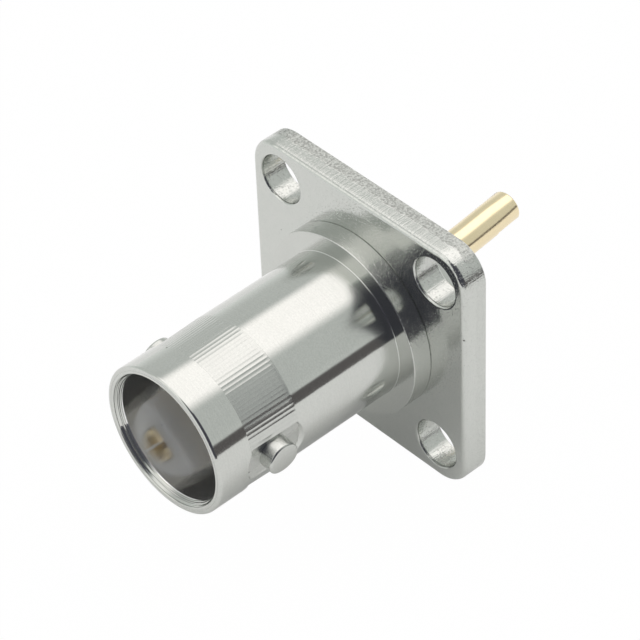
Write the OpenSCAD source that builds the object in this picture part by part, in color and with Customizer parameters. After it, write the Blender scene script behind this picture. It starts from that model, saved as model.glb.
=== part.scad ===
// Panel-mounted bayonet coaxial jack: a turned shell with two bayonet lugs,
// a stamped square flange plate staked onto it, two insulators that trap
// the centre contact, and the bush that closes the rear.
// The axis is Y, the mouth looks to -Y and +Z is up.  The origin is the
// middle of the flange plate's rear face, the face that seats on the panel.

/* [Flange plate] */
// Side of the square plate
plate_w = 17.5; // [15.5:0.1:20]
// Thickness of the plate
plate_t = 1.75; // [1.4:0.05:2.2]
// Radius of the plate's four corners
plate_corner_r = 2.1; // [1:0.1:3]
// Rollover that the blanking press leaves round the plate's front edge
plate_roll = 0.28; // [0.1:0.02:0.4]
// Distance of the screw holes' centres from the plate's sides
hole_inset = 2.4; // [2.2:0.05:2.8]
// Radius of a screw hole
hole_r = 1.6; // [1.3:0.05:1.8]
// Width of the countersink that breaks a screw hole's front edge
hole_edge = 0.15; // [0.05:0.01:0.3]

/* [Barrel] */
// Outer radius of the barrel
barrel_r = 4.8; // [4.6:0.01:5]
// Length from the mouth to the front face of the shoulder
barrel_l = 13.81; // [13:0.01:15]
// Wall of the barrel round the bore that takes the mating plug
barrel_wall = 0.73; // [0.6:0.01:0.85]
// Depth of that bore, down to the seat for the plug's outer contact
bore_depth = 8.4; // [7.5:0.1:9]
// Widening of the bore at the mouth
lead_in = 0.27; // [0.1:0.01:0.35]
// Depth of the widened mouth
lead_in_depth = 0.5; // [0.3:0.05:1]
// Rounding of the mouth's outer edge
mouth_round = 0.16; // [0.05:0.01:0.25]

/* [Bayonet lugs and milled band] */
// Radius of one bayonet lug
lug_r = 1.04; // [0.9:0.01:1.1]
// Height of the lugs above the barrel's surface
lug_height = 0.7; // [0.5:0.01:0.9]
// Distance of the lugs' axis behind the mouth
lug_back = 4.2; // [3.9:0.05:5]
// Turn of the lugs away from the plate's side edges, in degrees
lug_turn = 6; // [0:0.5:10]
// Radius of the floor of the pocket that the hollow mill leaves round a lug
pocket_r = 1.95; // [1.7:0.01:2.05]
// How much wider the pocket is at the barrel's surface than at its floor
pocket_flare = 0.29; // [0.1:0.01:0.35]
// Depth of that pocket below the barrel's surface, at the lug
pocket_depth = 0.26; // [0.1:0.01:0.35]
// Width of the milled band that runs round the barrel from lug to lug
band_w = 3.55; // [2.8:0.05:3.8]
// Depth of the band below the barrel's surface
band_depth = 0.1; // [0.04:0.01:0.2]
// Number of flats that the cutter leaves round the band
band_flats = 120; // [48:4:144]

/* [Shoulder and rear] */
// Fillet between the barrel and the shoulder
shoulder_fillet = 0.08; // [0.04:0.01:0.2]
// Height of the shoulder that bears on the plate, above the barrel's surface
shoulder_step = 1.25; // [1.1:0.01:1.5]
// Thickness of the shoulder
shoulder_t = 1.34; // [1:0.02:1.8]
// Rounding of the shoulder's rear edge, against the plate
shoulder_rear = 0.15; // [0.05:0.01:0.2]
// Break of the shell's other turned edges
turned_edge = 0.1; // [0.04:0.01:0.12]
// Radius of the spigot that is pressed through the plate
spigot_r = 5.35; // [5.2:0.01:5.45]
// Length of the spigot behind the plate
spigot_l = 2.4; // [2.2:0.05:2.6]
// Width of the staked rim that fills the countersink in the plate's rear face
stake = 0.25; // [0.15:0.01:0.4]
// Depth of that countersink
stake_depth = 0.4; // [0.2:0.01:0.6]

/* [Insulators and bush] */
// Radius of the insulating nose round the socket contact
nose_r = 2.4; // [2.2:0.01:2.5]
// Distance of the nose's front face behind the mouth
nose_back = 3.4; // [3.2:0.05:3.7]
// Chamfer of the nose's front edge
nose_edge = 0.15; // [0.05:0.01:0.2]
// Radius of both insulators inside the shell
insulator_r = 3.45; // [3.3:0.01:3.6]
// Gap round the insulators and round the contact
slip = 0.05; // [0.02:0.01:0.08]
// Radius of the front insulator where it passes the inner lip
lip_r = 2.9; // [2.7:0.01:3]
// Thickness of the shell's inner lip behind the plug's seat
lip_t = 1; // [0.8:0.05:1.2]
// Length of the front insulator behind the lip
front_body_l = 4.9; // [4.5:0.05:5.1]
// Radius of the rear insulator's sleeve
sleeve_r = 2.2; // [2:0.01:2.3]
// Distance of the sleeve's end behind the plate
sleeve_l = 3.9; // [3.4:0.05:4.1]
// Width of the spigot's rim round the closing bush
rim_w = 1.05; // [0.85:0.01:1.25]
// Length of the closing bush
bush_l = 1.7; // [1.4:0.05:1.8]
// Depth of the bush's rear face inside the rolled rim
bush_inset = 0.15; // [0.05:0.01:0.3]

/* [Centre contact] */
// Radius of the contact's socket end
socket_r = 1.05; // [0.98:0.01:1.08]
// Radius of the hole that takes the plug's pin
socket_bore_r = 0.69; // [0.66:0.01:0.72]
// Depth of that hole
socket_depth = 4; // [3.6:0.1:4.4]
// Chamfer that leads the plug's pin into that hole
socket_edge = 0.2; // [0.1:0.01:0.25]
// Distance of the socket's tip behind the mouth
socket_back = 3.3; // [3.1:0.05:3.5]
// Width of the spring slots in the socket
slot_w = 0.24; // [0.16:0.01:0.26]
// Length of the spring slots
slot_l = 3.2; // [2.8:0.1:3.5]
// Radius of the collar that the insulators trap
collar_r = 1.5; // [1.35:0.01:1.6]
// Thickness of that collar
collar_t = 0.7; // [0.5:0.05:0.9]
// Radius of the contact's tail
tail_r = 1.02; // [0.98:0.01:1.08]
// Bend of the tail where it leaves the sleeve, in degrees
tail_lean = 2.7; // [1:0.1:4]
// Length of the tail from there to the cup
tail_l = 2.6; // [2.2:0.1:3.2]
// Further bend of the tail before the solder cup, in degrees
cup_lean = 2; // [1:0.1:4]
// Radius of both bends, along the tail's middle
bend_r = 8; // [5:0.5:12]
// How much the tail swells in its bends
bend_swell = 0.01; // [0.005:0.001:0.02]
// Length of the solder cup
cup_l = 3.85; // [3.4:0.05:4.2]
// Radius of the cup's hole
cup_bore_r = 0.75; // [0.65:0.01:0.8]
// Depth of the cup's hole
cup_bore_l = 2.9; // [2.4:0.05:3.1]
// Length over which the cup's underside is cut away
cup_cut_l = 1.9; // [1.6:0.05:2.2]
// Height of the cut below the cup's axis
cup_cut_below = 0.32; // [0.1:0.01:0.5]
// Chamfer of the cup's rear end
cup_edge = 0.12; // [0.05:0.01:0.18]

/* [Hidden] */
$fn = 96;
// Places along the axis
plate_front = -plate_t;
shoulder_front = plate_front - shoulder_t;
mouth = shoulder_front - barrel_l;
lug_y = mouth + lug_back;
band_front = lug_y - band_w / 2;
seat = mouth + bore_depth;
lip_back = seat + lip_t;
split = lip_back + front_body_l;
bush_back = spigot_l - bush_inset;
bush_front = bush_back - bush_l;
collar_front = split - collar_t;
socket_tip = mouth + socket_back;
nose_tip = mouth + nose_back;
// Radii that follow from the barrel, the spigot and the fits
bore_r = barrel_r - barrel_wall;
lug_end = barrel_r + lug_height;
lug_root = barrel_r - barrel_wall / 2;
shoulder_r = barrel_r + shoulder_step;
bush_r = spigot_r - rim_w;
cavity_r = insulator_r + slip;
lip_bore_r = lip_r + slip;
sleeve_hole_r = sleeve_r + slip;
hole_pitch = plate_w - 2 * hole_inset;
// The tail bends up and to the left as seen from the mouth's side: this
// turn about the axis brings the local -X to that direction
bend_turn = 39.3;
// A cutter reaches this far past the surface that it opens
over = 0.5;
// The straight lengths of the tail reach this far into its bends
lap = 0.1;

// Points of an arc about (cx, cy), from angle a0 to a1 in n steps
function arc(cx, cy, r, a0, a1, n) =
    [for (i = [0:n]) let (a = a0 + (a1 - a0) * i / n) [cx + r * cos(a), cy + r * sin(a)]];

// Turns the local Z axis to Y
module along_y() {
    rotate([-90, 0, 0]) children();
}

// A solid of revolution about Y, from points (radius, place along Y)
module turned(points) {
    along_y() rotate_extrude() polygon(points);
}

// A rod about Y from y0 to y1
module rod(r, y0, y1) {
    translate([0, y0, 0]) along_y() cylinder(r = r, h = y1 - y0);
}

// A cone or taper about Y from radius r0 at y0 to radius r1 at y1
module taper(r0, r1, y0, y1) {
    translate([0, y0, 0]) along_y() cylinder(r1 = r0, r2 = r1, h = y1 - y0);
}

// A bend of the tail from +Y towards -X, with the children set on its end
module bend(angle) {
    translate([-bend_r, 0, 0]) rotate_extrude(angle = angle)
        translate([bend_r, 0]) circle(r = tail_r + bend_swell);
    translate([-bend_r * (1 - cos(angle)), bend_r * sin(angle), 0]) rotate([0, 0, angle]) children();
}

// The lathe-turned outside of the shell, from the mouth to the staked spigot
module shell_blank() {
    turned(concat(
        [[0, mouth]],
        arc(barrel_r - mouth_round, mouth + mouth_round, mouth_round, -90, 0, 5),
        arc(barrel_r + shoulder_fillet, shoulder_front - shoulder_fillet, shoulder_fillet, 180, 90, 4),
        arc(shoulder_r - turned_edge, shoulder_front + turned_edge, turned_edge, -90, 0, 4),
        arc(shoulder_r - shoulder_rear, plate_front - shoulder_rear, shoulder_rear, 0, 90, 4),
        [
            [spigot_r, plate_front],
            [spigot_r, -stake_depth],
            [spigot_r + stake, 0],
            [spigot_r, 0],
            [spigot_r, spigot_l - turned_edge],
            [spigot_r - turned_edge, spigot_l],
            [0, spigot_l]
        ]
    ));
}

// What the cutter removes round the barrel to leave the band of flats
module band_cut() {
    apothem = barrel_r - band_depth;
    corner_r = apothem / cos(180 / band_flats);
    flats = [for (i = [0:band_flats - 1]) let (a = 360 * i / band_flats) corner_r * [cos(a), sin(a)]];
    translate([0, band_front, 0]) along_y() difference() {
        cylinder(r = barrel_r + over, h = band_w);
        translate([0, 0, -over]) linear_extrude(band_w + 2 * over) polygon(flats);
    }
}

// The places of both lugs: their axis becomes the local Z axis
module at_lugs() {
    for (side = [0, 180])
        translate([0, lug_y, 0]) rotate([0, 90 + lug_turn + side, 0]) children();
}

// The turned shell with its bayonet lugs, milled band and stepped bore
module shell() {
    color([0.74, 0.76, 0.74]) difference() {
        union() {
            difference() {
                shell_blank();
                band_cut();
                at_lugs() translate([0, 0, barrel_r - pocket_depth]) cylinder(
                    r1 = pocket_r,
                    r2 = pocket_r + pocket_flare * (pocket_depth + over) / pocket_depth,
                    h = pocket_depth + over
                );
            }
            intersection() {
                at_lugs() translate([0, 0, lug_root]) cylinder(r = lug_r, h = lug_end + over - lug_root);
                rod(lug_end, mouth, shoulder_front);
            }
        }
        taper(bore_r + lead_in + lead_in / lead_in_depth * over, bore_r, mouth - over, mouth + lead_in_depth);
        rod(bore_r, mouth, seat);
        rod(lip_bore_r, seat - over, lip_back + over);
        rod(cavity_r, lip_back, spigot_l + over);
        rod(bush_r, bush_front, spigot_l + over);
    }
}

// A square with round corners, drawn in the XZ plane and y0 to y1 thick
module rounded_plate(w, r, y0, y1) {
    inner = w / 2 - r;
    translate([0, y0, 0]) along_y() linear_extrude(y1 - y0) union() {
        square([w, 2 * inner], center = true);
        square([2 * inner, w], center = true);
        for (x = [-inner, inner], y = [-inner, inner])
            translate([x, y]) circle(r = r);
    }
}

// The stamped plate: its front edge rolls over in three narrowing steps
module flange_plate() {
    steps = 3;
    color([0.72, 0.74, 0.72]) difference() {
        union() {
            rounded_plate(plate_w, plate_corner_r, plate_front + plate_roll, 0);
            for (i = [1:steps])
                rounded_plate(
                    plate_w - 2 * plate_roll * (1 - cos(90 * i / (steps + 1))),
                    plate_corner_r,
                    plate_front + plate_roll * (1 - sin(90 * (i + 1) / (steps + 1))),
                    plate_front + plate_roll
                );
        }
        rod(spigot_r, plate_front - over, over);
        taper(spigot_r, spigot_r + stake + stake / stake_depth * over, -stake_depth, over);
        for (x = [-1, 1], z = [-1, 1])
            translate([x * hole_pitch / 2, 0, z * hole_pitch / 2]) {
                rod(hole_r, plate_front - over, over);
                taper(hole_r + hole_edge + over, hole_r, plate_front - over, plate_front + hole_edge);
            }
    }
}

// The front insulator: a nose in the bore, a step at the lip and a body
module front_insulator() {
    color([0.93, 0.92, 0.88]) difference() {
        union() {
            taper(nose_r - nose_edge, nose_r, nose_tip, nose_tip + nose_edge);
            rod(nose_r, nose_tip + nose_edge, seat);
            rod(lip_r, seat, lip_back);
            rod(insulator_r, lip_back, split);
        }
        rod(socket_r + slip, nose_tip - over, split + over);
        rod(collar_r + slip, collar_front, split + over);
    }
}

// The rear insulator: a disc behind the collar and the sleeve round the tail
module rear_insulator() {
    color([0.93, 0.92, 0.88]) difference() {
        union() {
            rod(insulator_r, split, bush_front);
            rod(sleeve_r, bush_front, sleeve_l);
        }
        rod(tail_r + slip, split - over, sleeve_l + over);
    }
}

// The bush that is pressed into the shell behind the insulators
module closing_bush() {
    color([0.7, 0.72, 0.7]) difference() {
        rod(bush_r, bush_front, bush_back);
        rod(sleeve_hole_r, bush_front - over, bush_back + over);
    }
}

// The solder cup about its own axis: a blind hole with the underside cut off
module solder_cup() {
    difference() {
        union() {
            rod(tail_r, -lap, cup_l - cup_edge);
            taper(tail_r, tail_r - cup_edge, cup_l - cup_edge, cup_l);
        }
        rod(cup_bore_r, cup_l - cup_bore_l, cup_l + over);
        rotate([0, -bend_turn, 0]) translate([-tail_r - over, cup_l - cup_cut_l, -tail_r - over])
            cube([2 * (tail_r + over), cup_cut_l + over, tail_r + over - cup_cut_below]);
    }
}

// The gold-plated contact: slotted socket, trapped collar, tail and cup
module centre_contact() {
    color([0.83, 0.7, 0.42]) union() {
        difference() {
            rod(socket_r, socket_tip, split);
            rod(socket_bore_r, socket_tip - over, socket_tip + socket_depth);
            taper(socket_bore_r + socket_edge + over, socket_bore_r, socket_tip - over, socket_tip + socket_edge);
            for (a = [45, 135])
                rotate([0, a, 0]) translate([-socket_r - over, socket_tip - over, -slot_w / 2])
                    cube([2 * (socket_r + over), slot_l + over, slot_w]);
        }
        rod(collar_r, collar_front, split);
        rod(tail_r, split, sleeve_l + lap);
        translate([0, sleeve_l, 0]) rotate([0, bend_turn, 0]) bend(tail_lean) {
            rod(tail_r, -lap, tail_l + lap);
            translate([0, tail_l, 0]) bend(cup_lean) solder_cup();
        }
    }
}

shell();
flange_plate();
front_insulator();
rear_insulator();
closing_bush();
centre_contact();
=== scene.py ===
import math

import bmesh
import bpy
import numpy as np
from mathutils import Matrix, Vector
from mathutils.geometry import delaunay_2d_cdt


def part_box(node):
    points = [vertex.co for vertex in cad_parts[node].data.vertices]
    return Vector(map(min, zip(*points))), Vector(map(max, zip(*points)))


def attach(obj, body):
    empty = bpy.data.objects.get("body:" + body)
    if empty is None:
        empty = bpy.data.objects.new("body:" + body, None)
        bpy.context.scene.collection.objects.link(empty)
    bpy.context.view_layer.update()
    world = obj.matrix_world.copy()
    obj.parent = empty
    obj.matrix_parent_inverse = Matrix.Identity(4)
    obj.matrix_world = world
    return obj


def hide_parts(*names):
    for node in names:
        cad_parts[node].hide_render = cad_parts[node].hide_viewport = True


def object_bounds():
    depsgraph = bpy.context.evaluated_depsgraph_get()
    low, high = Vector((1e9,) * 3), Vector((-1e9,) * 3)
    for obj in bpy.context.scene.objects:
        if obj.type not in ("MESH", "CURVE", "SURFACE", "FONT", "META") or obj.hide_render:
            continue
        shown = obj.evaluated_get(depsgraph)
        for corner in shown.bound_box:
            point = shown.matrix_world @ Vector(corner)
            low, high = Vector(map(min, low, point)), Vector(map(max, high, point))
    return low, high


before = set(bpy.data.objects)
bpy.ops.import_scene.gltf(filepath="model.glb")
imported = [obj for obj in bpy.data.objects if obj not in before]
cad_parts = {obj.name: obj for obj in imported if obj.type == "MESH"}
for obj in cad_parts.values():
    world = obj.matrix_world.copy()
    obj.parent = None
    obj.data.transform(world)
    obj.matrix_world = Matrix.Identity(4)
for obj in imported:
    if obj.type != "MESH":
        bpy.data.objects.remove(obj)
cad_low, cad_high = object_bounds()


# The photographer's view: a long lens that looks down into the mouth from
# the right, held a little askew, so that the flange stands behind the barrel.
MM = 0.001
view_azimuth = math.radians(48.4)
view_elevation = math.radians(42.38)
view_roll = math.radians(-2.4)
view_distance = 192.15 * MM
aim = Vector((2.504, -7.0, 4.439)) * MM

backwards = Vector((
    math.sin(view_azimuth) * math.cos(view_elevation),
    -math.cos(view_azimuth) * math.cos(view_elevation),
    math.sin(view_elevation),
))
level = Vector((math.cos(view_azimuth), math.sin(view_azimuth), 0))
lens = bpy.data.cameras.new("camera")
lens.sensor_width = 36
lens.lens = 191.94
lens.clip_start = 0.01
lens.clip_end = 10
camera = bpy.data.objects.new("camera", lens)
bpy.context.scene.collection.objects.link(camera)
upright = Matrix((level, backwards.cross(level), backwards)).transposed()
turned_view = upright @ Matrix.Rotation(view_roll, 3, "Z")
camera.matrix_world = Matrix.Translation(aim + backwards * view_distance) @ turned_view.to_4x4()
bpy.context.scene.camera = camera


# The shell is turned from brass bar on a lathe: the barrel and its shoulder
# outside, the plug's bore inside.  A hollow mill then cuts both bayonet lugs
# and leaves a ring of narrow hollows round the barrel; nickel covers it all.
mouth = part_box("shell")[0].y / MM
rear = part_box("shell")[1].y / MM
shoulder_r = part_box("shell")[1].x / MM
plate_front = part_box("flange_plate")[0].y / MM
barrel_r = 4.8
bore_r = 4.07
mouth_land_r = 4.34
lead_in_depth = 0.5
bore_depth = 8.4
mouth_round = 0.16
lug_y = mouth + 4.2
lug_turn = math.radians(-6)
lug_r = 1.04
lug_end_r = 5.5
lug_edge = 0.13
pocket_r = 1.95
pocket_wall = 0.15
pocket_rise = 0.3
pocket_floor = 4.54
band_half = 1.775
band_r = 4.7
band_rise = 0.095
band_edge = 0.2
shoulder_front = plate_front - 1.34
shoulder_fillet = 0.045
shoulder_edge = 0.045
shoulder_rear = 0.07
spigot_r = 5.35
stake = 0.25
stake_depth = 0.4
lip_bore_r = 2.95
lip_t = 1.0
seat = mouth + bore_depth
lip_back = seat + lip_t
cavity_r = 3.5
bush_hole_r = 4.3
bush_front = 0.55
hollows = 120
steps_in_hollow = 4


def quads_between(rows, columns, round_rows=False, round_columns=True, first=0):
    """Faces of a grid of points: point (i, j) has the number first + i * columns + j, and each
    face joins (i, j), (i, j + 1), (i + 1, j + 1) and (i + 1, j), going round where asked."""
    i = np.arange(rows if round_rows else rows - 1)[:, None]
    j = np.arange(columns if round_columns else columns - 1)[None, :]
    ahead = (i + 1) % rows * columns
    beside = (j + 1) % columns
    corners = (i * columns + j, i * columns + beside, ahead + beside, ahead + j)
    return np.stack(corners, -1).reshape(-1, 4) + first


def piece_from(name, points, faces, crease=30.0, sharp_where=None):
    """A smooth-shaded object from points in millimetres and lists of face corners. Edges that
    turn by more than crease degrees stay sharp, and so do those that sharp_where picks from
    the numbers of their two ends."""
    mesh = bpy.data.meshes.new(name)
    mesh.from_pydata(np.asarray(points) * MM, [], [list(face) for face in faces])
    mesh.validate()
    mesh.polygons.foreach_set("use_smooth", np.ones(len(mesh.polygons), bool))
    mesh.set_sharp_from_angle(angle=math.radians(crease))
    if sharp_where is not None:
        ends = np.empty(2 * len(mesh.edges), int)
        mesh.edges.foreach_get("vertices", ends)
        ends = ends.reshape(-1, 2)
        sharp = np.empty(len(mesh.edges), bool)
        mesh.edges.foreach_get("use_edge_sharp", sharp)
        mesh.edges.foreach_set("use_edge_sharp", sharp | sharp_where(ends[:, 0], ends[:, 1]))
    mesh.update()
    piece = bpy.data.objects.new(name, mesh)
    bpy.context.scene.collection.objects.link(piece)
    return piece


def arc(centre_r, centre_y, radius, start, end, steps):
    """Points (r, y) at equal steps of angle, in degrees, round a circle about the centre."""
    a = np.radians(np.linspace(start, end, steps + 1))
    return np.stack((centre_r + radius * np.cos(a), centre_y + radius * np.sin(a)), -1)


def wobbling(most, seed, count):
    """Seeded random numbers between -most and most."""
    return np.random.default_rng(seed).uniform(-most, most, count)


columns = hollows * steps_in_hollow
turn = np.arange(columns) * 2 * math.pi / columns + lug_turn


def hollow_ring(corners, depths):
    """Radius of a ring of shallow hollows at each column: straight from corner to corner, less
    the hollow's depth times 1 - u^2, where u runs from -1 to 1 across it."""
    share = np.tile(np.arange(steps_in_hollow) / steps_in_hollow, hollows)
    here = np.repeat(corners, steps_in_hollow)
    beyond = np.repeat(np.roll(corners, -1), steps_in_hollow)
    sag = np.repeat(depths, steps_in_hollow) * (1 - (2 * share - 1) ** 2)
    return here * (1 - share) + beyond * share - sag


# The cutter chatters more towards the band's rear, where the hollows are deeper
chatter = wobbling(0.0025, 11, hollows)
band_ring_front = hollow_ring(band_r + chatter, 0.006 + wobbling(0.0015, 12, hollows))
band_ring_rear = hollow_ring(band_r + 1.6 * chatter, 0.01 + wobbling(0.0025, 13, hollows))

# At each column: the angle from the nearer lug, held once it is past the
# pocket, the way along the pocket's floor from the lug, and where the floor and
# the wall above it end
past_pocket = 0.34
off_lug = (turn - lug_turn + math.pi / 2) % math.pi - math.pi / 2
near_lug = np.clip(off_lug, -past_pocket, past_pocket)
floor_r = pocket_floor / np.cos(near_lug)
floor_z = pocket_floor * np.tan(near_lug)
in_pocket = floor_r < band_r - 0.002
side_half = math.sqrt(pocket_r**2 - (band_r**2 - pocket_floor**2))


def wall_end(level):
    """Half-length of the pocket where its hollow wall reaches a radius. The wall is a quarter of
    an ellipse, w wide and e high: where it has climbed h over the floor, the distance from the
    lug's axis is pocket_r + w sqrt(1 - (1 - h/e)^2), the long side of a triangle with floor_z."""
    climbed = np.clip(level * np.cos(near_lug) - pocket_floor, 0, pocket_rise)
    reach = pocket_r + pocket_wall * np.sqrt(1 - (1 - climbed / pocket_rise) ** 2)
    return np.sqrt(np.maximum(reach**2 - floor_z**2, 0))


def pocket_level(y):
    """Radius of the pocket's floor and wall at places y from the lug, by the same triangle."""
    past = np.clip((np.hypot(y, floor_z) - pocket_r) / pocket_wall, 0, 1)
    climbed = pocket_rise * (1 - np.sqrt(1 - past**2))
    return np.where(in_pocket, (pocket_floor + climbed) / np.cos(near_lug), barrel_r)


surface_end = np.where(in_pocket, np.maximum(band_half, wall_end(barrel_r)), band_half)
wall_top = np.where(in_pocket, np.minimum(band_half, wall_end(band_r)), side_half + 0.01)
wall_foot = np.where(in_pocket, np.sqrt(np.maximum(pocket_r**2 - floor_z**2, 0.01)), side_half)
wall_foot = np.minimum(wall_foot, wall_top - 0.002)


def band_level(y):
    """Radius of the band at places y from the lug: the ring of hollows passes from its front
    shape to its rear one, and rises to the barrel's own radius, where it runs out."""
    way = np.clip((y + band_half) / (2 * band_half), 0, 1)
    ramp = np.clip((y - band_half + band_edge) / band_edge, 0, 1)
    level = band_ring_front * (1 - way) + band_ring_rear * way + band_rise * way
    return level + (barrel_r - level) * ramp


def band_rows():
    """Places from the lug and radii of the rows across the band and the pockets, from the
    front to the rear: the barrel's edge, the wall above the band, the band, the wall below it,
    the pocket's floor, and the same again in turn on the other side."""
    tiny = 0.001
    rows = [(surface_end + 0.03, barrel_r), (surface_end + 0.012, barrel_r - 0.001)]
    for share in (0, 0.5, 1):
        across = (band_half + tiny - surface_end) * share - tiny * share / 2
        rows.append((surface_end + across, barrel_r - 0.012))
    for share in (0, 0.5, 1):
        rows.append((band_half - tiny + (wall_top - band_half) * share, None))
    for share in np.linspace(0, 1, 8)[1:]:
        rows.append((wall_top - tiny + (wall_foot - wall_top) * share**0.7, None))
    half = [(y + 0 * turn, level) for y, level in rows]
    floor = [(wall_foot * share, None) for share in (-0.75, -0.5, -0.25, 0, 0.25, 0.5, 0.75)]
    found = []
    for y, level in [(-y, level) for y, level in half] + floor + half[::-1]:
        r = band_level(y) if level is None else level + 0 * turn
        found.append((np.minimum(r, pocket_level(y)), y + lug_y))
    return found


def shell_rows():
    """The shell's section as rows of (radius, place) for all columns, from the mouth's outer
    edge along the outside to the rear and back through the bore, and the band's row numbers."""
    flat = np.ones(columns)
    rows = []

    def ring(r, y):
        rows.append(np.stack((flat * r, flat * y), -1))

    def rings(points):
        for r, y in points:
            ring(r, y)

    # Next to each rounding one more ring holds the straight part's shading straight
    hold = 0.03
    rings(arc(barrel_r - mouth_round, mouth + mouth_round, mouth_round, -90, 0, 6))
    ring(barrel_r, mouth + mouth_round + hold)
    first_band_row = len(rows) + 5
    rings(band_rows())
    last_band_row = len(rows) - 6
    ring(barrel_r, shoulder_front - shoulder_fillet - hold)
    corner = (barrel_r + shoulder_fillet, shoulder_front - shoulder_fillet, shoulder_fillet)
    rings(arc(*corner, 180, 90, 8))
    ring(barrel_r + shoulder_fillet + hold, shoulder_front)
    ring(shoulder_r - shoulder_edge - hold, shoulder_front)
    nicks = np.convolve(wobbling(0.012, 5, columns + 4), np.ones(5) / 3, "valid")
    corner = (shoulder_r - shoulder_edge, shoulder_front + shoulder_edge, shoulder_edge)
    for r, y in arc(*corner, -90, 0, 8):
        blunt = (shoulder_r - r) * (y - shoulder_front) / shoulder_edge**2 * 4
        ring(r - np.abs(nicks) * blunt, y + nicks * blunt * 0.5)
    ring(shoulder_r, shoulder_front + shoulder_edge + hold)
    ring(shoulder_r, plate_front - shoulder_rear - hold)
    rings(arc(shoulder_r - shoulder_rear, plate_front - shoulder_rear, shoulder_rear, 0, 84, 8))
    ring(shoulder_r - shoulder_rear, plate_front)
    rings([(spigot_r, plate_front), (spigot_r, -stake_depth), (spigot_r + stake - 0.01, -0.01)])
    rings([(spigot_r + 0.03, 0.004), (spigot_r, 0.03)])
    rim = 0.14
    rings(arc(spigot_r - rim, rear - rim, rim, 0, 90, 8))
    rings(arc(bush_hole_r + 0.1, rear - 0.1, 0.1, 90, 180, 6))
    ring(bush_hole_r, bush_front + 0.02)
    ring(bush_hole_r - 0.02, bush_front)
    ring(cavity_r, bush_front)
    rings([(cavity_r, lip_back), (lip_bore_r, lip_back), (lip_bore_r, seat + 0.05)])
    rings([(lip_bore_r + 0.05, seat), (bore_r - 0.05, seat), (bore_r, seat - 0.05)])
    ring(bore_r, mouth + lead_in_depth + hold)
    ring(bore_r, mouth + lead_in_depth)
    ways = np.linspace(0, 1, 15)[1:-1]
    ridge = 0.008 * np.sin(ways * 5.5 * 2 * math.pi) + wobbling(0.004, 7, len(ways))
    for way, height in zip(ways, ridge):
        ring(bore_r + (mouth_land_r - bore_r) * way - height, mouth + lead_in_depth * (1 - way))
    ring(mouth_land_r, mouth + 0.02)
    ring(mouth_land_r + 0.02, mouth)
    return np.stack(rows), first_band_row, last_band_row


sections, first_band_row, last_band_row = shell_rows()
shell_points = np.stack((
    sections[..., 0] * np.cos(turn),
    sections[..., 1],
    sections[..., 0] * np.sin(turn),
), -1)
shell_faces = quads_between(len(sections), columns, round_rows=True)


def lug(direction):
    """A round pin along the direction, from inside the wall to the end: its rings are circles of
    the lug's radius, and its end follows the cylinder of radius lug_end_r, so a point z off the
    middle is sqrt(lug_end_r^2 - z^2) out, less the rounding of its edge."""
    around = np.arange(64) * 2 * math.pi / 64
    bend = np.radians(np.linspace(0, 90, 9))
    flat_r = lug_r - lug_edge - 0.03
    rounding = lug_r - lug_edge * (1 - np.cos(bend))
    ring_r = np.concatenate(([lug_r, lug_r], rounding, [flat_r, 0.6, 0.3]))
    below = np.concatenate(([0, lug_edge + 0.03], lug_edge * (1 - np.sin(bend)), [0, 0, 0]))
    y = ring_r[:, None] * np.cos(around)
    z = ring_r[:, None] * np.sin(around)
    out = np.sqrt(lug_end_r**2 - z**2) - below[:, None]
    out[0] = pocket_floor - 0.2
    across = np.array([-direction[2], 0, direction[0]])
    points = out[..., None] * direction + y[..., None] * np.array([0, 1, 0]) + z[..., None] * across
    return points.reshape(-1, 3) + np.array([0, lug_y, 0]), len(ring_r), len(around)


all_points = [shell_points.reshape(-1, 3)]
all_faces = list(shell_faces)
for side in (0, math.pi):
    pin_axis = np.array([math.cos(lug_turn + side), 0, math.sin(lug_turn + side)])
    pin_points, pin_rows, pin_columns = lug(pin_axis)
    start = sum(map(len, all_points))
    all_faces += list(quads_between(pin_rows, pin_columns, first=start)[:, ::-1])
    all_faces.append(np.arange(pin_columns) + start)
    all_faces.append(np.arange(pin_columns)[::-1] + start + (pin_rows - 1) * pin_columns)
    all_points.append(pin_points)


def hollow_corner_edges(a, b):
    """Picks the edges that run along the corners between two hollows of the milled band."""
    row_a, row_b = a // columns, b // columns
    column = a % columns
    behind, ahead = np.minimum(row_a, row_b), np.maximum(row_a, row_b)
    in_band = (behind >= first_band_row) & (ahead <= last_band_row)
    return in_band & (column == b % columns) & (column % steps_in_hollow == 0)


shell = piece_from("shell_turned", np.concatenate(all_points), all_faces, 32, hollow_corner_edges)


def new_material(name):
    """A material with one Principled shader, and that shader and the node tree to build on."""
    material = bpy.data.materials.new(name)
    material.use_nodes = True
    tree = material.node_tree
    return material, tree, tree.nodes["Principled BSDF"]


def wire(tree, kind, inputs=None, **settings):
    """Adds a node of that kind with its settings, and gives each named or numbered input a
    value or joins it to another node's output."""
    node = tree.nodes.new(kind)
    for key, value in settings.items():
        setattr(node, key, value)
    for key, value in (inputs or {}).items():
        if isinstance(value, bpy.types.NodeSocket):
            tree.links.new(value, node.inputs[key])
        else:
            node.inputs[key].default_value = value
    return node


def math_node(tree, operation, a, b=0.0, c=0.0):
    """The output of one Math node."""
    return wire(tree, "ShaderNodeMath", {0: a, 1: b, 2: c}, operation=operation).outputs[0]


def times(tree, a, b):
    """The product of two masks, or of a mask and a number."""
    return math_node(tree, "MULTIPLY", a, b)


def blend_colour(tree, share, a, b):
    """The output of a Mix node that goes from colour a to colour b."""
    mixed = wire(tree, "ShaderNodeMix", {0: share}, data_type="RGBA")
    for socket, value in ((mixed.inputs[6], a), (mixed.inputs[7], b)):
        if isinstance(value, bpy.types.NodeSocket):
            tree.links.new(value, socket)
        else:
            socket.default_value = (*value, 1)
    return mixed.outputs[2]


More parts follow.
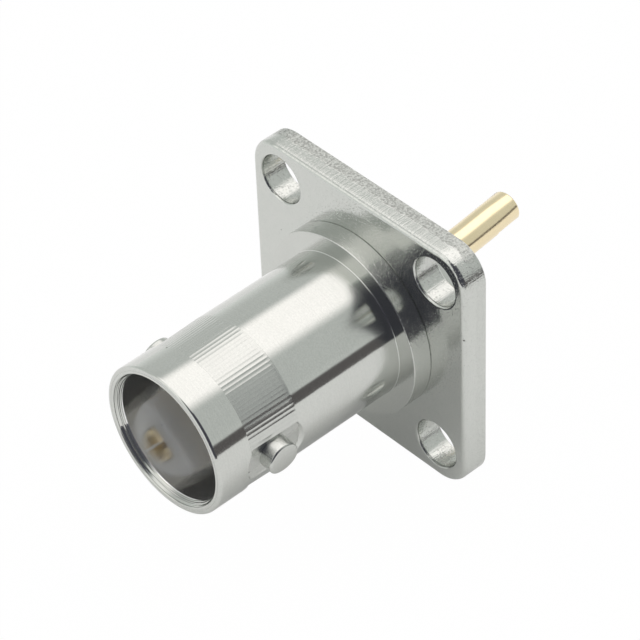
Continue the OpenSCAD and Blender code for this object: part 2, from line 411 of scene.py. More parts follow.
def ramp_between(tree, value, low, high):
    """0 below low, 1 above high and a smooth step between them."""
    return wire(
        tree, "ShaderNodeMapRange",
        {"Value": value, "From Min": low, "From Max": high},
        interpolation_type="SMOOTHSTEP",
    ).outputs["Result"]


def new_group(name, inputs, outputs):
    """An empty node group with the named outputs and with inputs of the given defaults: numbers,
    or a vector where the default is None."""
    tree = bpy.data.node_groups.new(name, "ShaderNodeTree")
    for socket, default in inputs.items():
        kind = "NodeSocketVector" if default is None else "NodeSocketFloat"
        made = tree.interface.new_socket(socket, in_out="INPUT", socket_type=kind)
        if default is not None:
            made.default_value = default
    for socket in outputs:
        tree.interface.new_socket(socket, in_out="OUTPUT", socket_type="NodeSocketFloat")
    return tree, tree.nodes.new("NodeGroupInput").outputs, tree.nodes.new("NodeGroupOutput").inputs


def use_group(tree, group, inputs):
    """The outputs of a group placed in a material."""
    return wire(tree, "ShaderNodeGroup", inputs, node_tree=group).outputs


def opposite(tree, mask):
    """1 less the mask."""
    return math_node(tree, "SUBTRACT", 1.0, mask)


def layered(tree, value, *layers):
    """The value plus each layer's mask times its share."""
    for mask, share in layers:
        value = math_node(tree, "MULTIPLY_ADD", mask, share, value)
    return value


def noise(tree, place, scale, detail, roughness=0.5):
    """Cloudy noise with about scale patches to a millimetre."""
    inputs = {"Vector": place, "Scale": scale, "Detail": detail, "Roughness": roughness}
    return wire(tree, "ShaderNodeTexNoise", inputs).outputs[0]


def parts_of(tree, vector):
    """The x, y and z of a vector."""
    return wire(tree, "ShaderNodeSeparateXYZ", {0: vector}).outputs


def off_axis(tree, parts):
    """Distance from the connector's axis: the root of x^2 + z^2."""
    squares = [times(tree, parts[k], parts[k]) for k in (0, 2)]
    return math_node(tree, "SQRT", math_node(tree, "ADD", *squares))


def turning_lines_group():
    """Rings that a lathe tool leaves: noise along radius plus place, so the lines run round
    both cylinders and faces, with a slow drift round the axis."""
    tree, given, out = new_group("turning lines", {"Place": None, "Pitch": 0.1}, ["Height", "Tone"])
    parts = parts_of(tree, given["Place"])
    along = layered(tree, parts[1], (off_axis(tree, parts), 1.7))
    step = math_node(tree, "DIVIDE", along, given["Pitch"])
    inputs = {"W": step, "Scale": 1.0, "Detail": 3.0}
    fine = wire(tree, "ShaderNodeTexNoise", inputs, noise_dimensions="1D").outputs[0]
    tree.links.new(fine, out["Height"])
    tree.links.new(times(tree, fine, noise(tree, given["Place"], 0.35, 2.0)), out["Tone"])
    return tree


def plating_group():
    """Bright plating seen close, as masks: a slow swell, a finer peel like an orange's, slanting
    hair scratches, a few tiny pits, clouds, bright specks and a fine fleck."""
    names = ["Swell", "Peel", "Scratch", "Pit", "Cloud", "Speck", "Fleck"]
    tree, given, out = new_group("plating", {"Place": None}, names)
    place = given["Place"]
    slanting = {"Vector": place, "Rotation": (0.5, 0.9, 0.4), "Scale": (9, 0.5, 9)}
    strands = wire(tree, "ShaderNodeMapping", slanting).outputs[0]
    cells = wire(tree, "ShaderNodeTexVoronoi", {"Vector": place, "Scale": 0.55}).outputs[0]
    masks = (
        noise(tree, place, 1.1, 2.0),
        noise(tree, place, 7.0, 3.0, 0.6),
        ramp_between(tree, noise(tree, strands, 1.6, 4.0, 0.7), 0.62, 0.72),
        opposite(tree, ramp_between(tree, cells, 0.028, 0.04)),
        noise(tree, place, 2.6, 5.0),
        ramp_between(tree, noise(tree, place, 8.0, 2.0), 0.56, 0.7),
        ramp_between(tree, noise(tree, place, 11.0, 1.0), 0.35, 0.65),
    )
    for name, mask in zip(names, masks):
        tree.links.new(mask, out[name])
    return tree


turning_lines = turning_lines_group()
plating = plating_group()


def emboss(tree, shader, height, depth):
    """Gives the shader bumps, as deep as the height times a depth in metres."""
    bump = wire(tree, "ShaderNodeBump", {"Height": height, "Strength": 1.0, "Distance": depth})
    tree.links.new(bump.outputs[0], shader.inputs["Normal"])


def place_in_mm(tree):
    """Object coordinates in millimetres."""
    spot = wire(tree, "ShaderNodeTexCoord").outputs["Object"]
    return wire(tree, "ShaderNodeMapping", {"Vector": spot, "Scale": (1000, 1000, 1000)}).outputs[0]


nickel_grey, nickel_pale = (0.585, 0.605, 0.575), (0.625, 0.635, 0.61)
nickel_shade = (0.5, 0.51, 0.49)
# Painted light: the bore's nickel is lighter than the outside's, so the dim bore reads brighter
bore_nickel_painted_light = (0.84, 0.845, 0.84)
fleck_dark = (0.3, 0.31, 0.3)
# Painted shade: thin dark lines along the corners between the band's hollows
painted_ridge_shade = (0.2, 0.205, 0.2)
pit_dark = (0.12, 0.12, 0.11)
flank_r = 5.9


def turned_nickel():
    """Bright nickel over turned brass: rings from the tool, deeper in the bore, a fine grain on the
    shoulder's side, painted shade on the corners between the band's hollows, painted light as a
    lighter nickel in the bore, and duller pockets."""
    material, tree, shader = new_material("turned nickel")
    place = place_in_mm(tree)
    lines = use_group(tree, turning_lines, {"Place": place, "Pitch": 0.09})
    film = use_group(tree, plating, {"Place": place})
    parts = parts_of(tree, place)
    radius = off_axis(tree, parts)

    inside = times(
        tree, opposite(tree, ramp_between(tree, radius, bore_r + 0.01, bore_r + 0.05)),
        opposite(tree, ramp_between(tree, parts[1], lip_back + 0.1, lip_back + 0.2)),
    )
    flank = ramp_between(tree, radius, flank_r, flank_r + 0.06)
    milled = times(
        tree, ramp_between(tree, radius, pocket_floor - 0.09, pocket_floor - 0.04),
        opposite(tree, ramp_between(tree, radius, pocket_floor + 0.01, pocket_floor + 0.06)),
    )
    front, back = lug_y - band_half, lug_y + band_half
    band = times(
        tree, ramp_between(tree, parts[1], front - 0.02, front + 0.02),
        opposite(tree, ramp_between(tree, parts[1], back - 0.06, back)),
    )
    band = times(tree, band, ramp_between(tree, radius, pocket_floor + 0.06, pocket_floor + 0.12))
    angle = math_node(tree, "ARCTAN2", parts[2], parts[0])
    phase = math_node(tree, "MULTIPLY_ADD", angle, hollows / (2 * math.pi), hollows + 2)
    corner = math_node(tree, "SUBTRACT", math_node(tree, "FRACT", phase), 0.5)
    corner = ramp_between(tree, math_node(tree, "ABSOLUTE", corner), 0.3, 0.5)

    colour = blend_colour(tree, film["Cloud"], nickel_grey, nickel_pale)
    colour = blend_colour(tree, times(tree, film["Fleck"], 0.1), colour, fleck_dark)
    tone = times(tree, ramp_between(tree, lines["Tone"], 0.15, 0.45), 0.25)
    colour = blend_colour(tree, tone, colour, nickel_shade)
    # Painted shade: the band's colour darkens along the corners between its hollows
    wear_and_ridge_shade = times(tree, times(tree, band, corner), times(tree, film["Cloud"], 0.1))
    colour = blend_colour(tree, wear_and_ridge_shade, colour, painted_ridge_shade)
    # Painted light: the nickel in the bore is given the lighter colour
    colour = blend_colour(tree, inside, colour, bore_nickel_painted_light)
    tree.links.new(blend_colour(tree, film["Pit"], colour, pit_dark), shader.inputs["Base Color"])

    rough = layered(
        tree, 0.095, (film["Scratch"], 0.05), (lines["Tone"], 0.04), (inside, -0.02),
        (milled, 0.25), (band, 0.13), (flank, 0.06),
    )
    tree.links.new(rough, shader.inputs["Roughness"])
    tree.links.new(layered(tree, 1.0, (inside, -0.05)), shader.inputs["Metallic"])
    shader.inputs["Anisotropic"].default_value = 0.95
    shader.inputs["Anisotropic Rotation"].default_value = 0.25
    around = wire(tree, "ShaderNodeTangent", direction_type="RADIAL", axis="Y")
    tree.links.new(around.outputs[0], shader.inputs["Tangent"])

    height = layered(
        tree, times(tree, lines["Height"], layered(tree, 0.5, (inside, 1.5))),
        (film["Swell"], 0.7), (film["Scratch"], -0.12),
        (film["Peel"], layered(tree, 0.5, (flank, 1.0))), (times(tree, flank, film["Speck"]), 4.0),
    )
    emboss(tree, shader, height, 0.0000012)
    return material


nickel = turned_nickel()
shell.data.materials.append(nickel)
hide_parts("shell")
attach(shell, "root")


# The flange is blanked from sheet and pressed onto the shell's spigot.  The
# blanking die rounds its front edge, burnishes the first part of its sides
# and tears the rest, and the four screw holes are punched the same way.
plate_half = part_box("flange_plate")[1].x / MM
plate_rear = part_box("flange_plate")[1].y / MM
plate_corner_r = 2.1
plate_roll = 0.34
rear_edge = 0.05
screw_inset = 2.4
screw_hole_r = 1.6
hole_edge = 0.15
centre_hole_r = spigot_r


def rounded_square(half, corner, per_corner=16):
    """Points of a square with round corners, half its side from the middle to a side, and the
    outward direction at each."""
    a = np.linspace(0, math.pi / 2, per_corner + 1)
    turns = np.concatenate([a + k * math.pi / 2 for k in range(4)])
    corners = np.array([[1, 1], [-1, 1], [-1, -1], [1, -1]]) * (half - corner)
    centres = np.repeat(corners, per_corner + 1, 0)
    out = np.stack((np.cos(turns), np.sin(turns)), -1)
    straight = 24
    points, normals = [], []
    for k in range(4):
        run = slice(k * (per_corner + 1), (k + 1) * (per_corner + 1))
        points.append(centres[run] + corner * out[run])
        normals.append(out[run])
        following = (k + 1) % 4 * (per_corner + 1)
        after = centres[following] + corner * out[following]
        share = (np.arange(1, straight) / straight)[:, None]
        points.append(points[-1][-1] * (1 - share) + after * share)
        normals.append(np.repeat(out[run][-1:], straight - 1, 0))
    return np.concatenate(points), np.concatenate(normals)


def edge_walls(outline, outward, section):
    """Carries a section of (inset, y) round an outline: each row is the outline moved inwards
    by the inset at that y."""
    rows = [np.insert(outline - outward * inset, 1, y, 1) for inset, y in section]
    return np.stack(rows)


def front_edge(radius, count):
    """Section points (inset, y) of a quarter round from the plate's front to a side."""
    angles = np.radians(np.linspace(0, 90, count))
    return [(radius * (1 - math.sin(a)), plate_front + radius * (1 - math.cos(a))) for a in angles]


side_places = np.linspace(plate_front + plate_roll, plate_rear - rear_edge, 8)[1:]
rim_section = front_edge(plate_roll, 12)
rim_section += [(0, y) for y in side_places] + [(rear_edge, plate_rear)]
plate_outline, plate_outward = rounded_square(plate_half, plate_corner_r)
walls = [edge_walls(plate_outline, plate_outward, rim_section)]

circle = np.arange(72) * 2 * math.pi / 72
round_out = np.stack((np.cos(circle), np.sin(circle)), -1)
hole_section = front_edge(hole_edge, 6)
hole_section += [(0, plate_front + hole_edge + 0.03), (0, plate_rear - 0.04), (0.04, plate_rear)]
screw_place = plate_half - screw_inset
hole_centres = [(x * screw_place, z * screw_place) for x in (-1, 1) for z in (-1, 1)]
for centre in hole_centres:
    walls.append(edge_walls(round_out * screw_hole_r + centre, -round_out, hole_section))
centre_section = [(0, plate_front), (0, plate_rear - stake_depth), (-stake, plate_rear)]
walls.append(edge_walls(round_out * centre_hole_r, round_out, centre_section))


def face_between_loops(loops):
    """Triangles of a flat face inside the first loop and outside the others, and the points of
    all loops in one list."""
    points = np.concatenate(loops)
    starts = np.cumsum([0] + [len(loop) for loop in loops])
    edges = [
        (int(s + k), int(s + (k + 1) % len(loop)))
        for s, loop in zip(starts, loops)
        for k in range(len(loop))
    ]
    found = delaunay_2d_cdt([Vector(p) for p in points], edges, [], 1, 1e-7)
    made = np.array([tuple(v) for v in found[0]])
    triangles = np.array(found[2])
    middle = made[triangles].mean(1)
    keep = np.ones(len(triangles), bool)
    for loop in loops[1:]:
        centre = loop.mean(0)
        keep &= np.linalg.norm(middle - centre, axis=1) > np.linalg.norm(loop[0] - centre)
    return made, triangles[keep]


plate_points, plate_faces = [], []
for wall in walls:
    start = sum(map(len, plate_points))
    plate_faces += [tuple(f) for f in quads_between(wall.shape[0], wall.shape[1], first=start)]
    plate_points.append(wall.reshape(-1, 3))
for row, facing in ((0, -1), (-1, 1)):
    flat_points, triangles = face_between_loops([wall[row][:, (0, 2)] for wall in walls])
    start = sum(map(len, plate_points))
    plate_points.append(np.insert(flat_points, 1, walls[0][row][0][1], 1))
    plate_faces += [tuple(f[::-facing] + start) for f in triangles]

plate = piece_from("flange_stamped", np.concatenate(plate_points), plate_faces, 40)


def close_seams(piece, distance=0.0000005):
    """Merges the points that lie on each other and turns every face outwards."""
    work = bmesh.new()
    work.from_mesh(piece.data)
    bmesh.ops.remove_doubles(work, verts=work.verts, dist=distance)
    bmesh.ops.recalc_face_normals(work, faces=work.faces)
    work.to_mesh(piece.data)
    work.free()
    piece.data.update()


close_seams(plate)
plate.data.set_sharp_from_angle(angle=math.radians(40))
facing = np.empty(3 * len(plate.data.polygons))
plate.data.polygons.foreach_get("normal", facing)
plate.data.polygons.foreach_set("use_smooth", np.abs(facing[1::3]) < 0.9999)


sheet_grey, sheet_pale = (0.575, 0.6, 0.57), (0.62, 0.63, 0.605)
torn_dark = (0.3, 0.305, 0.29)
tear_y = -1.12
top_side_z = 8.1


def stamped_nickel():
    """Bright nickel over a stamped plate: nearly a mirror in front, fine upright lines on the
    burnished part of its sides, and a torn, matt grain on the rest, most of it on the top side."""
    material, tree, shader = new_material("stamped nickel")
    place = place_in_mm(tree)
    film = use_group(tree, plating, {"Place": place})
    parts = parts_of(tree, place)
    normal = wire(tree, "ShaderNodeNewGeometry").outputs["Normal"]
    lengthwise = math_node(tree, "ABSOLUTE", parts_of(tree, normal)[1])
    side = opposite(tree, ramp_between(tree, lengthwise, 0.3, 0.8))
    tear_line = layered(tree, parts[1], (noise(tree, place, 0.8, 3.0), -0.5))
    torn = times(tree, side, ramp_between(tree, tear_line, tear_y, tear_y + 0.1))
    on_top = ramp_between(tree, parts[2], top_side_z, top_side_z + 0.4)
    torn = times(tree, torn, layered(tree, 0.12, (on_top, 0.88)))
    combed = wire(tree, "ShaderNodeMapping", {"Vector": place, "Scale": (7, 0.35, 7)}).outputs[0]
    comb = noise(tree, combed, 1.6, 3.0)
    grain = noise(tree, place, 7.0, 4.0, 0.7)

    colour = blend_colour(tree, film["Cloud"], sheet_grey, sheet_pale)
    colour = blend_colour(tree, times(tree, film["Fleck"], 0.08), colour, fleck_dark)
    wear_and_ridge_shade = times(tree, torn, ramp_between(tree, grain, 0.42, 0.6))
    colour = blend_colour(tree, times(tree, wear_and_ridge_shade, 0.75), colour, torn_dark)
    tree.links.new(blend_colour(tree, film["Pit"], colour, pit_dark), shader.inputs["Base Color"])
    rough = layered(tree, 0.13, (film["Scratch"], 0.05), (side, 0.04), (torn, 0.16))
    tree.links.new(rough, shader.inputs["Roughness"])
    height = layered(
        tree, times(tree, film["Swell"], 1.2),
        (times(tree, comb, side), 6.0), (times(tree, grain, torn), 22.0),
        (film["Scratch"], -0.15), (film["Peel"], 1.3), (film["Speck"], 3.6),
    )
    emboss(tree, shader, height, 0.000002)
    shader.inputs["Metallic"].default_value = 1.0
    return material


plate.data.materials.append(stamped_nickel())
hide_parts("flange_plate")
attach(plate, "root")


# Both insulators are turned from white fluoropolymer rod.  The front one is
# the nose round the socket, and the rear one's sleeve carries the tail out.
nose_r = 2.4
nose_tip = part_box("front_insulator")[0].y / MM
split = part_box("front_insulator")[1].y / MM
insulator_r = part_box("front_insulator")[1].x / MM
sleeve_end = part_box("rear_insulator")[1].y / MM
lip_r = 2.9
sleeve_r = 2.2
socket_r = 1.05
collar_r = 1.5
collar_t = 0.7
tail_r = 1.02
slip = 0.05


def turned_ring(name, section, crease=30, around=128):
    """A closed ring of revolution about Y from a loop of (radius, place) points."""
    a = np.arange(around) * 2 * math.pi / around
    section = np.asarray(section)
    r, y = section[:, :1], section[:, 1:]
    points = np.stack((r * np.cos(a), y + 0 * a, r * np.sin(a)), -1)
    faces = quads_between(len(section), around, round_rows=True)
    return piece_from(name, points.reshape(-1, 3), faces, crease)


front_insulator = turned_ring("insulator_front", [
    (socket_r + slip + 0.08, nose_tip), (nose_r - 0.18, nose_tip), (nose_r - 0.15, nose_tip),
    (nose_r - 0.04, nose_tip + 0.05), (nose_r, nose_tip + 0.15), (nose_r, nose_tip + 0.18),
    (nose_r, seat - 0.03), (nose_r + 0.03, seat), (lip_r, seat), (lip_r, lip_back),
    (insulator_r, lip_back), (insulator_r, split), (collar_r + slip, split),
    (collar_r + slip, split - collar_t), (socket_r + slip, split - collar_t),
    (socket_r + slip, nose_tip + 0.08),
])
rear_insulator = turned_ring("insulator_rear", [
    (insulator_r, split), (insulator_r, bush_front), (sleeve_r, bush_front),
    (sleeve_r, sleeve_end - 0.15), (sleeve_r, sleeve_end - 0.12),
    (sleeve_r - 0.03, sleeve_end - 0.03), (sleeve_r - 0.12, sleeve_end),
    (tail_r + slip + 0.1, sleeve_end), (tail_r + slip, sleeve_end - 0.1), (tail_r + slip, split),
])


wax_grey, wax_white = (0.88, 0.865, 0.82), (0.92, 0.905, 0.87)
# Strength of the nose's painted glow
painted_glow = 0.1


def fluoropolymer():
    """Waxy white rod stock with soft rings from the lathe. Light soaks far into it, and a faint
    warm glow, painted light towards the nose's root, stands for what the rod carries down into the
    bore."""
    material, tree, shader = new_material("white fluoropolymer")
    place = place_in_mm(tree)
    lines = use_group(tree, turning_lines, {"Place": place, "Pitch": 0.16})
    colour = blend_colour(tree, noise(tree, place, 1.3, 4.0), wax_grey, wax_white)
    tree.links.new(colour, shader.inputs["Base Color"])
    tree.links.new(layered(tree, 0.34, (lines["Tone"], 0.3)), shader.inputs["Roughness"])
    emboss(tree, shader, lines["Height"], 0.00001)
    shader.inputs["Subsurface Weight"].default_value = 1.0
    shader.inputs["Subsurface Radius"].default_value = (1.0, 0.92, 0.85)
    shader.inputs["Subsurface Scale"].default_value = 0.008
    # Painted light: the nose glows faintly, more towards its root
    along = parts_of(tree, place)[1]
    nose_only = opposite(tree, ramp_between(tree, along, seat, lip_back))
    painted_glow_share = times(tree, ramp_between(tree, along, nose_tip, nose_tip + 3), nose_only)
    tree.links.new(times(tree, painted_glow_share, painted_glow), shader.inputs["Emission Strength"])
    shader.inputs["Emission Color"].default_value = (0.95, 0.9, 0.79, 1)
    return material


waxy_white = fluoropolymer()
for insulator, node in ((front_insulator, "front_insulator"), (rear_insulator, "rear_insulator")):
    insulator.data.materials.append(waxy_white)
    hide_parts(node)
    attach(insulator, "root")


# The bush is a turned brass ring, nickel plated, that is pressed in behind
# the insulators and keeps them and the contact in the shell.
bush_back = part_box("closing_bush")[1].y / MM
bush_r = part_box("closing_bush")[1].x / MM
sleeve_hole_r = sleeve_r + slip
bush = turned_ring("bush_turned", [
    (bush_r, bush_front), (bush_r, bush_back - 0.08), (bush_r - 0.08, bush_back),
    (sleeve_hole_r + 0.12, bush_back), (sleeve_hole_r, bush_back - 0.12),
    (sleeve_hole_r, bush_front),
])
bush.data.materials.append(nickel)
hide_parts("closing_bush")
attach(bush, "root")


# The contact is turned from bronze and gold plated.  Four spring fingers
# grip the plug's pin, the insulators trap its collar, and its tail is bent a
# little up and to the left and ends in a cup that is cut open underneath.
socket_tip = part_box("centre_contact")[0].y / MM
socket_bore_r = 0.69
socket_depth = 4.0
slot_l = 3.2
slot_w = 0.24
bend_r = 8.0
first_bend = math.radians(2.7)
second_bend = math.radians(2.0)
tail_l = 2.6
cup_l = 3.85
cup_bore_r = 0.75
cup_bore_l = 2.9
cup_cut_l = 1.9
cup_cut_below = 0.32
tip_edge = 0.12
bend_side = math.radians(180 - 39.3)
bent_way = np.array([math.cos(bend_side), 0, math.sin(bend_side)])


def along_tail(way):
    """The tail's middle line and its direction at lengths of way from the split: straight to the
    sleeve's end, an arc of radius bend_r, straight for tail_l, and a second arc to the cup."""
    s = np.asarray(way, float) - (sleeve_end - split)
    first_l, second_l = bend_r * first_bend, bend_r * second_bend
    on_first = np.clip(s, 0, first_l) / bend_r
    on_second = np.clip(s - first_l - tail_l, 0, second_l) / bend_r
    straight = np.clip(s - first_l, 0, tail_l)
    last = np.clip(s - first_l - tail_l - second_l, 0, None)
    lean = on_first + on_second
    y = sleeve_end + np.minimum(s, 0) + bend_r * np.sin(on_first) + straight * np.cos(on_first)
    y += bend_r * (np.sin(lean) - np.sin(on_first)) + last * np.cos(lean)
    off = bend_r * (1 - np.cos(on_first)) + straight * np.sin(on_first)
    off += bend_r * (np.cos(on_first) - np.cos(lean)) + last * np.sin(lean)
    middle = off[..., None] * bent_way + y[..., None] * np.array([0, 1, 0])
    direction = np.sin(lean)[..., None] * bent_way + np.cos(lean)[..., None] * np.array([0, 1, 0])
    return middle, direction


def rings_on_tail(section, angles):
    """Rows of points round the tail's line: each section point is (radius, way), and the angle
    runs from +X towards +Z across the line."""
    section = np.asarray(section, float)
    middle, direction = along_tail(section[:, 1])
    up = np.array([0, 0, 1]) - direction * direction[:, 2:]
    up /= np.linalg.norm(up, axis=1)[:, None]
    right = np.cross(direction, up)
    to_right, to_top = np.cos(angles)[None, :, None], np.sin(angles)[None, :, None]
    across = right[:, None] * to_right + up[:, None] * to_top
    return middle[:, None] + section[:, :1, None] * across


cup_start = sleeve_end - split + bend_r * (first_bend + second_bend) + tail_l
cup_end = cup_start + cup_l
cut_start = cup_end - cup_cut_l
slot_end = socket_tip + slot_l - split
bore_end = socket_tip + socket_depth - split

# The angles of the part that the cut leaves, outside and in the cup's bore,
# each followed by those of the part that it takes away
kept, taken = 61, 22
cut_out = math.acos(cup_cut_below / tail_r)
cut_in = math.acos(cup_cut_below / cup_bore_r)


def round_the_cut(half):
    """Angles of the columns: the kept ones from the cut's one side over the top to the other,
    then the taken ones underneath."""
    over = np.linspace(half - math.pi / 2, 1.5 * math.pi - half, kept)
    under = np.linspace(1.5 * math.pi - half, 1.5 * math.pi + half, taken + 2)[1:-1]
    return np.concatenate((over, under))


outer, inner = round_the_cut(cut_out), round_the_cut(cut_in)
contact_columns = kept + taken
body_section = [
    (0.02, bore_end), (socket_bore_r - 0.05, bore_end), (socket_bore_r, bore_end - 0.05),
    (socket_bore_r, slot_end), (socket_r, slot_end), (socket_r, -collar_t),
    (collar_r, -collar_t), (collar_r, 0), (tail_r, 0),
]
body_section += [(tail_r, way) for way in np.linspace(0.2, cup_start, 40)]
body_section += [(tail_r, (cup_start + cut_start) / 2), (tail_r, cut_start)]
cup_floor = cup_end - cup_bore_l
bore_section = [
    (cup_bore_r, cut_start), (cup_bore_r, cup_floor + 0.1),
    (cup_bore_r - 0.1, cup_floor), (0.02, cup_floor),
]
contact_points, contact_faces = [], []


def add_sheet(rows_of_points, **how):
    """Adds a grid of points with its faces to the contact."""
    rows, count = rows_of_points.shape[:2]
    start = sum(map(len, contact_points))
    contact_points.append(rows_of_points.reshape(-1, 3))
    contact_faces.extend(tuple(f) for f in quads_between(rows, count, first=start, **how))
    return start


body_rows = rings_on_tail(body_section, outer)
start = add_sheet(body_rows)
contact_faces.append(tuple(np.arange(contact_columns)[::-1] + start))
bore_rows = rings_on_tail(bore_section, inner)
start = add_sheet(bore_rows)
last_ring = start + (len(bore_rows) - 1) * contact_columns
contact_faces.append(tuple(np.arange(contact_columns) + last_ring))

# The cup past the cut, as loops over the outside and back through the bore,
# then the ring at its tip and the step where the cut starts
cup = []
tip_rounding = ((tip_edge, 0), (0.07, 0.02), (0.03, 0.05), (0, 0.11))
for way, edge in ((cut_start, 0), *((cup_end - before, edge) for before, edge in tip_rounding)):
    outside = rings_on_tail([(tail_r - edge, way)], outer[:kept])[0]
    inside_wall = rings_on_tail([(cup_bore_r + edge * 0.3, way)], inner[:kept][::-1])[0]
    cup.append(np.concatenate((outside, inside_wall)))
add_sheet(np.stack(cup))
add_sheet(np.stack((cup[-1][:kept], cup[-1][kept:][::-1])), round_columns=False)
step = np.append(np.arange(kept - 1, contact_columns), 0)
add_sheet(np.stack((body_rows[-1][step], bore_rows[0][step])), round_columns=False)


def add_bar(outline_rows):
    """Adds a closed bar: rows of outline points, closed at both ends by flat faces."""
    rows, count = outline_rows.shape[:2]
    start = sum(map(len, contact_points))
    contact_points.append(outline_rows.reshape(-1, 3))
    contact_faces.extend(tuple(f) for f in quads_between(rows, count, first=start))
    contact_faces.append(tuple(np.arange(count)[::-1] + start))
    contact_faces.append(tuple(np.arange(count) + start + (rows - 1) * count))


finger_tip, finger_edge = socket_tip - split, 0.12
finger_rings = ((finger_tip, finger_edge), (finger_tip + finger_edge, 0), (slot_end + 0.1, 0))
for quarter in range(4):
    middle_angle = quarter * math.pi / 2
    open_out = math.asin(slot_w / 2 / socket_r)
    open_in = math.asin(slot_w / 2 / socket_bore_r)
    over = np.linspace(math.pi / 4 - open_out, open_out - math.pi / 4, 13) + middle_angle
    back = np.linspace(open_in - math.pi / 4, math.pi / 4 - open_in, 13) + middle_angle
    finger = []
    for way, edge in finger_rings:
        outside = rings_on_tail([(socket_r - edge, way)], over)[0]
        inside_wall = rings_on_tail([(socket_bore_r + edge / 2, way)], back)[0]
        finger.append(np.concatenate((outside, inside_wall)))
    add_bar(np.stack(finger))

contact = piece_from("contact_gold", np.concatenate(contact_points), contact_faces, 35)
close_seams(contact)
contact.data.set_sharp_from_angle(angle=math.radians(35))


gold_deep, gold_pale = (0.84, 0.72, 0.47), (0.9, 0.78, 0.54)
gold_painted_shade = (0.42, 0.33, 0.19)
gold_pit = (0.2, 0.13, 0.06)


def gold_plating():
    """Thin pale gold on turned bronze: bright on the tail, with fine lines round it, and on the
    sprung fingers darker, which is painted shade, and duller, as they aren't burnished."""
    material, tree, shader = new_material("pale gold")
    place = place_in_mm(tree)
    lines = use_group(tree, turning_lines, {"Place": place, "Pitch": 0.12})
    film = use_group(tree, plating, {"Place": place})
    along = parts_of(tree, place)[1]
    sprung = opposite(tree, ramp_between(tree, along, seat - 1, seat))
    colour = blend_colour(tree, film["Cloud"], gold_deep, gold_pale)
    # Painted shade: the sprung fingers, inside the nose, are darker in colour
    colour = blend_colour(tree, times(tree, sprung, 0.55), colour, gold_painted_shade)
    tree.links.new(blend_colour(tree, film["Pit"], colour, gold_pit), shader.inputs["Base Color"])
    rough = layered(tree, 0.16, (lines["Tone"], 0.1), (sprung, 0.1))
    tree.links.new(rough, shader.inputs["Roughness"])
    height = layered(tree, times(tree, lines["Height"], 0.6), (film["Swell"], 1.0))
    emboss(tree, shader, height, 0.0000015)
    shader.inputs["Metallic"].default_value = 1.0
    return material


contact.data.materials.append(gold_plating())
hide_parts("centre_contact")
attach(contact, "root")


# The studio is a white table in front of a tent of pale cloth.  A soft box
# hangs over it and a second one stands in front, to the left.  The side of
# the camera is dark, and so is the room below the tent's edge to the right.
table_z = cad_low.z / MM - 0.05
table_left, table_right = -160, 84
table_front, table_rear = -48, 260
table_white, table_shaded = (0.9, 0.9, 0.9), (0.78, 0.78, 0.76)
cloth, cloth_low = (0.7, 0.72, 0.7), (1.0, 1.02, 1.0)
overhead_box = (1.62, 1.56, 1.54)
front_box = (1.3, 1.28, 1.25)
dark_room, room_low = (0.085, 0.085, 0.105), (0.145, 0.135, 0.135)

# Where each starts, where it ends and how soft its border is: the overhead box
# by its place on a ceiling one unit up, the others by angle, turned and raised
overhead_across, overhead_along = (-0.74, 0.385, 0.2), (-0.35, 1.6, 0.1)
front_turned, front_raised = (-46, -1, 3), (8, 64, 4)
room_turned, room_raised = (4, 106, 4), (-100, 60, 2)
low_turned, low_raised = (90, 165, 3), (-100, 7.4, 1.4)


def window(tree, value, low, high, soft):
    """1 from low to high, fading to 0 over a soft step on both sides."""
    rise = ramp_between(tree, value, low - soft, low + soft)
    fall = ramp_between(tree, value, high - soft, high + soft)
    return times(tree, rise, opposite(tree, fall))


def tent_light():
    """The light from each direction, by its azimuth from the front towards +X, its elevation,
    and the place where it crosses the ceiling."""
    world = bpy.data.worlds.new("tent")
    bpy.context.scene.world = world
    world.use_nodes = True
    tree = world.node_tree
    tree.nodes.clear()
    x, y, z = parts_of(tree, wire(tree, "ShaderNodeTexCoord").outputs["Generated"])
    forward = times(tree, y, -1.0)
    azimuth = math_node(tree, "DEGREES", math_node(tree, "ARCTAN2", x, forward))
    elevation = math_node(tree, "DEGREES", math_node(tree, "ARCSINE", z))
    up = math_node(tree, "MAXIMUM", z, 0.05)
    over_x = math_node(tree, "DIVIDE", x, up)
    over_y = math_node(tree, "DIVIDE", y, up)
    lower = opposite(tree, ramp_between(tree, elevation, -12, 18))
    light = blend_colour(tree, lower, cloth, cloth_low)
    for one, its_reach, other, other_reach, colour in (
        (over_x, overhead_across, over_y, overhead_along, overhead_box),
        (azimuth, front_turned, elevation, front_raised, front_box),
        (azimuth, room_turned, elevation, room_raised, dark_room),
        (azimuth, low_turned, elevation, low_raised, room_low),
    ):
        patch = times(tree, window(tree, one, *its_reach), window(tree, other, *other_reach))
        light = blend_colour(tree, patch, light, colour)
    path = wire(tree, "ShaderNodeLightPath").outputs
    straight = math_node(tree, "MAXIMUM", path["Is Camera Ray"], path["Is Transmission Ray"])
    light = blend_colour(tree, straight, light, (1.0, 1.0, 1.0))
    glow = wire(tree, "ShaderNodeBackground", {"Color": light, "Strength": 1.0}).outputs[0]
    wire(tree, "ShaderNodeOutputWorld", {"Surface": glow})


tent_light()


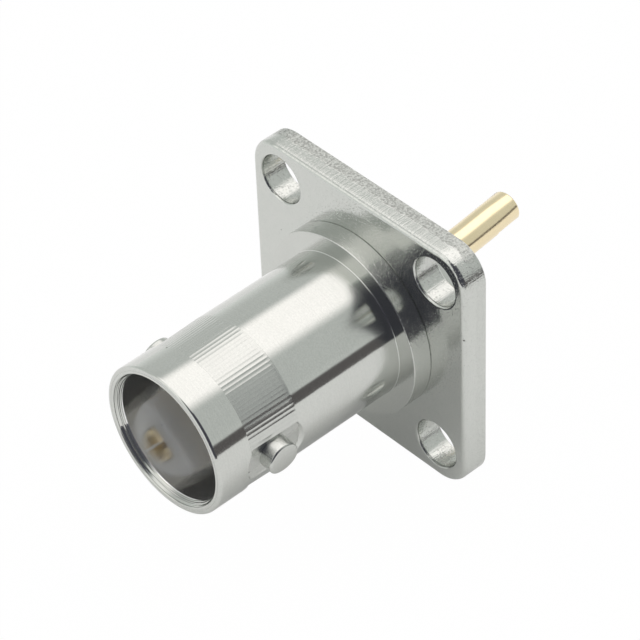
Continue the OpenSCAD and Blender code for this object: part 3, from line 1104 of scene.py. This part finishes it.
def white_table():
    """A white table that is lit like any surface, and greyer near the object, a painted shadow.
    The camera sees it nearly at its full white, so only a trace of the object's shadow is left.
    Metal sees part of that white too, less of it near the object: painted shadow in its reflection
    there.  From below the table is clear."""
    material = bpy.data.materials.new("white table")
    material.use_nodes = True
    tree = material.node_tree
    tree.nodes.clear()
    path = wire(tree, "ShaderNodeLightPath").outputs
    glossy, to_camera = path["Is Glossy Ray"], path["Is Camera Ray"]
    below = wire(tree, "ShaderNodeNewGeometry").outputs["Backfacing"]
    place = wire(tree, "ShaderNodeMapping", {
        "Vector": wire(tree, "ShaderNodeTexCoord").outputs["Object"],
        "Location": (0, 4.5, 0), "Scale": (1000, 750, 0),
    }).outputs[0]
    away = wire(tree, "ShaderNodeVectorMath", {0: place}, operation="LENGTH").outputs["Value"]
    away = ramp_between(tree, away, 4, 16)
    # Painted shadow: the table's colour is greyer near the object
    grey = blend_colour(tree, away, table_shaded, table_white)
    lit = wire(tree, "ShaderNodeBsdfDiffuse", {"Color": grey}).outputs[0]
    strength = layered(tree, 1.0, (glossy, 0.32))
    full_white = {"Color": (1, 1, 1, 1), "Strength": strength}
    white = wire(tree, "ShaderNodeEmission", full_white).outputs[0]
    clear = wire(tree, "ShaderNodeBsdfTransparent").outputs[0]
    share = times(tree, glossy, layered(tree, 0.15, (away, 0.17)))
    share = layered(tree, share, (to_camera, 0.99))
    seen = wire(tree, "ShaderNodeMixShader", {0: share, 1: lit, 2: white}).outputs[0]
    either = wire(tree, "ShaderNodeMixShader", {0: below, 1: seen, 2: clear}).outputs[0]
    wire(tree, "ShaderNodeOutputMaterial", {"Surface": either})
    return material


table_mesh = bpy.data.meshes.new("table")
table_corners = [
    (table_left, table_front, table_z), (table_right, table_front, table_z),
    (table_right, table_rear, table_z), (table_left, table_rear, table_z),
]
table_mesh.from_pydata([Vector(c) * MM for c in table_corners], [], [(0, 1, 2, 3)])
table = bpy.data.objects.new("table", table_mesh)
bpy.context.scene.collection.objects.link(table)
table.data.materials.append(white_table())

bpy.context.scene.view_settings.view_transform = "Standard"
